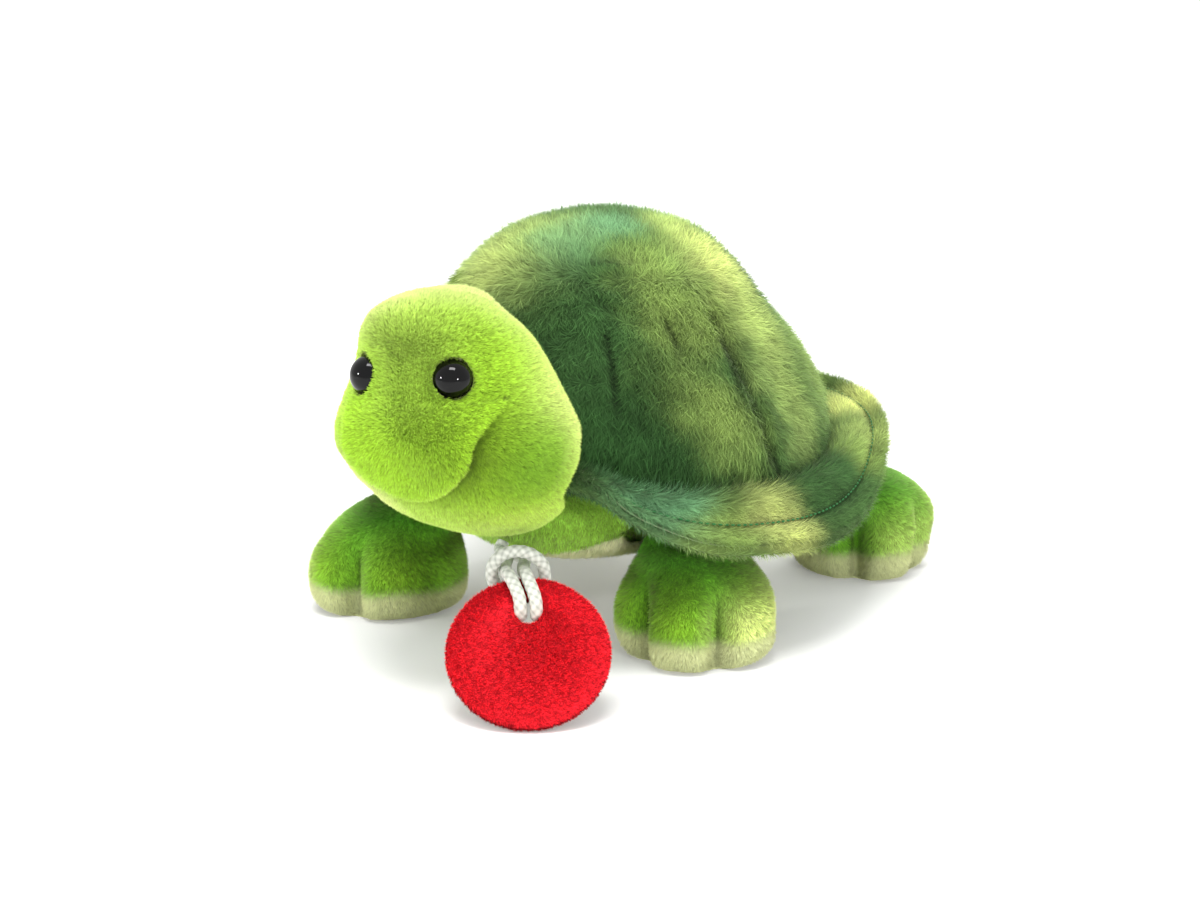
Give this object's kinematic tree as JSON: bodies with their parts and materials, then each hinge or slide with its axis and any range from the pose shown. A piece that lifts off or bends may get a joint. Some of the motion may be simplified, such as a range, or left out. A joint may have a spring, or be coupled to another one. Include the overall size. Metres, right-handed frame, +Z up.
{
  "type": "plush turtle toy",
  "caption": "Stuffed turtle toy with a domed long-pile shell and brim, sewn head and legs that flex, button eyes, and a round felt tag on a looped cord.",
  "frame": {"origin": "on the floor, under the middle of the turtle without its tag and cord", "axes": "+Z up, the face towards -Y, the turtle's left side towards +X"},
  "size_m": [0.1216, 0.1619, 0.0935],
  "materials": {
    "lime_plush": "short soft pile, matte",
    "green_plush": "short soft pile, matte",
    "pale_plush": "short soft pile, matte",
    "shell_fur": "long combed pile, mottled green, matte",
    "brim_lining": "short pile, matte",
    "eye_black": "polished",
    "washer_white": "moulded",
    "tag_red": "woven pile, matte",
    "cord_white": "braided, slight sheen"
  },
  "bodies": {
    "body": {"torso": "green_plush", "belly_panel": "pale_plush", "shell_dome": "shell_fur", "shell_brim": "shell_fur", "brim_lining": "brim_lining"},
    "neck": {"neck": "green_plush"},
    "head": {"head": "lime_plush", "eye_left": "eye_black", "eye_washer_left": "washer_white", "eye_right": "eye_black", "eye_washer_right": "washer_white"},
    "leg_front_left": {"leg_front_left": "green_plush", "sole_front_left": "pale_plush"},
    "leg_front_right": {"leg_front_right": "green_plush", "sole_front_right": "pale_plush"},
    "leg_rear_left": {"leg_rear_left": "green_plush", "sole_rear_left": "pale_plush"},
    "leg_rear_right": {"leg_rear_right": "green_plush", "sole_rear_right": "pale_plush"},
    "tag": {"tag_front": "tag_red", "tag_back": "tag_red", "tag_cord": "cord_white"}
  },
  "joints": [
    {"name": "neck_turn", "type": "hinge", "parent": "body", "child": "neck", "pos_m": [-0.0012, -0.0245, 0.034], "axis": [0, 0, 1], "range_deg": [-6, 6], "stiffness_Nm_per_rad": 0.4},
    {"name": "head_nod", "type": "hinge", "parent": "neck", "child": "head", "pos_m": [-0.0012, -0.04, 0.0385], "axis": [1, 0, 0], "range_deg": [-6, 2], "stiffness_Nm_per_rad": 0.4},
    {"name": "hip_front_left", "type": "hinge", "parent": "body", "child": "leg_front_left", "pos_m": [0.0293, -0.016, 0.0265], "axis": [1, 0, 0], "range_deg": [-8, 8], "stiffness_Nm_per_rad": 0.2},
    {"name": "hip_front_right", "type": "hinge", "parent": "body", "child": "leg_front_right", "pos_m": [-0.0317, -0.016, 0.0265], "axis": [1, 0, 0], "range_deg": [-8, 8], "stiffness_Nm_per_rad": 0.2},
    {"name": "hip_rear_left", "type": "hinge", "parent": "body", "child": "leg_rear_left", "pos_m": [0.0268, 0.042, 0.025], "axis": [1, 0, 0], "range_deg": [-8, 8], "stiffness_Nm_per_rad": 0.2},
    {"name": "hip_rear_right", "type": "hinge", "parent": "body", "child": "leg_rear_right", "pos_m": [-0.0292, 0.042, 0.025], "axis": [1, 0, 0], "range_deg": [-8, 8], "stiffness_Nm_per_rad": 0.2},
    {"name": "tag_swing", "type": "hinge", "parent": "body", "child": "tag", "pos_m": [0.0008, -0.035, 0.02495], "axis": [0, 0, 1], "range_deg": [-3, 12]}
  ]
}
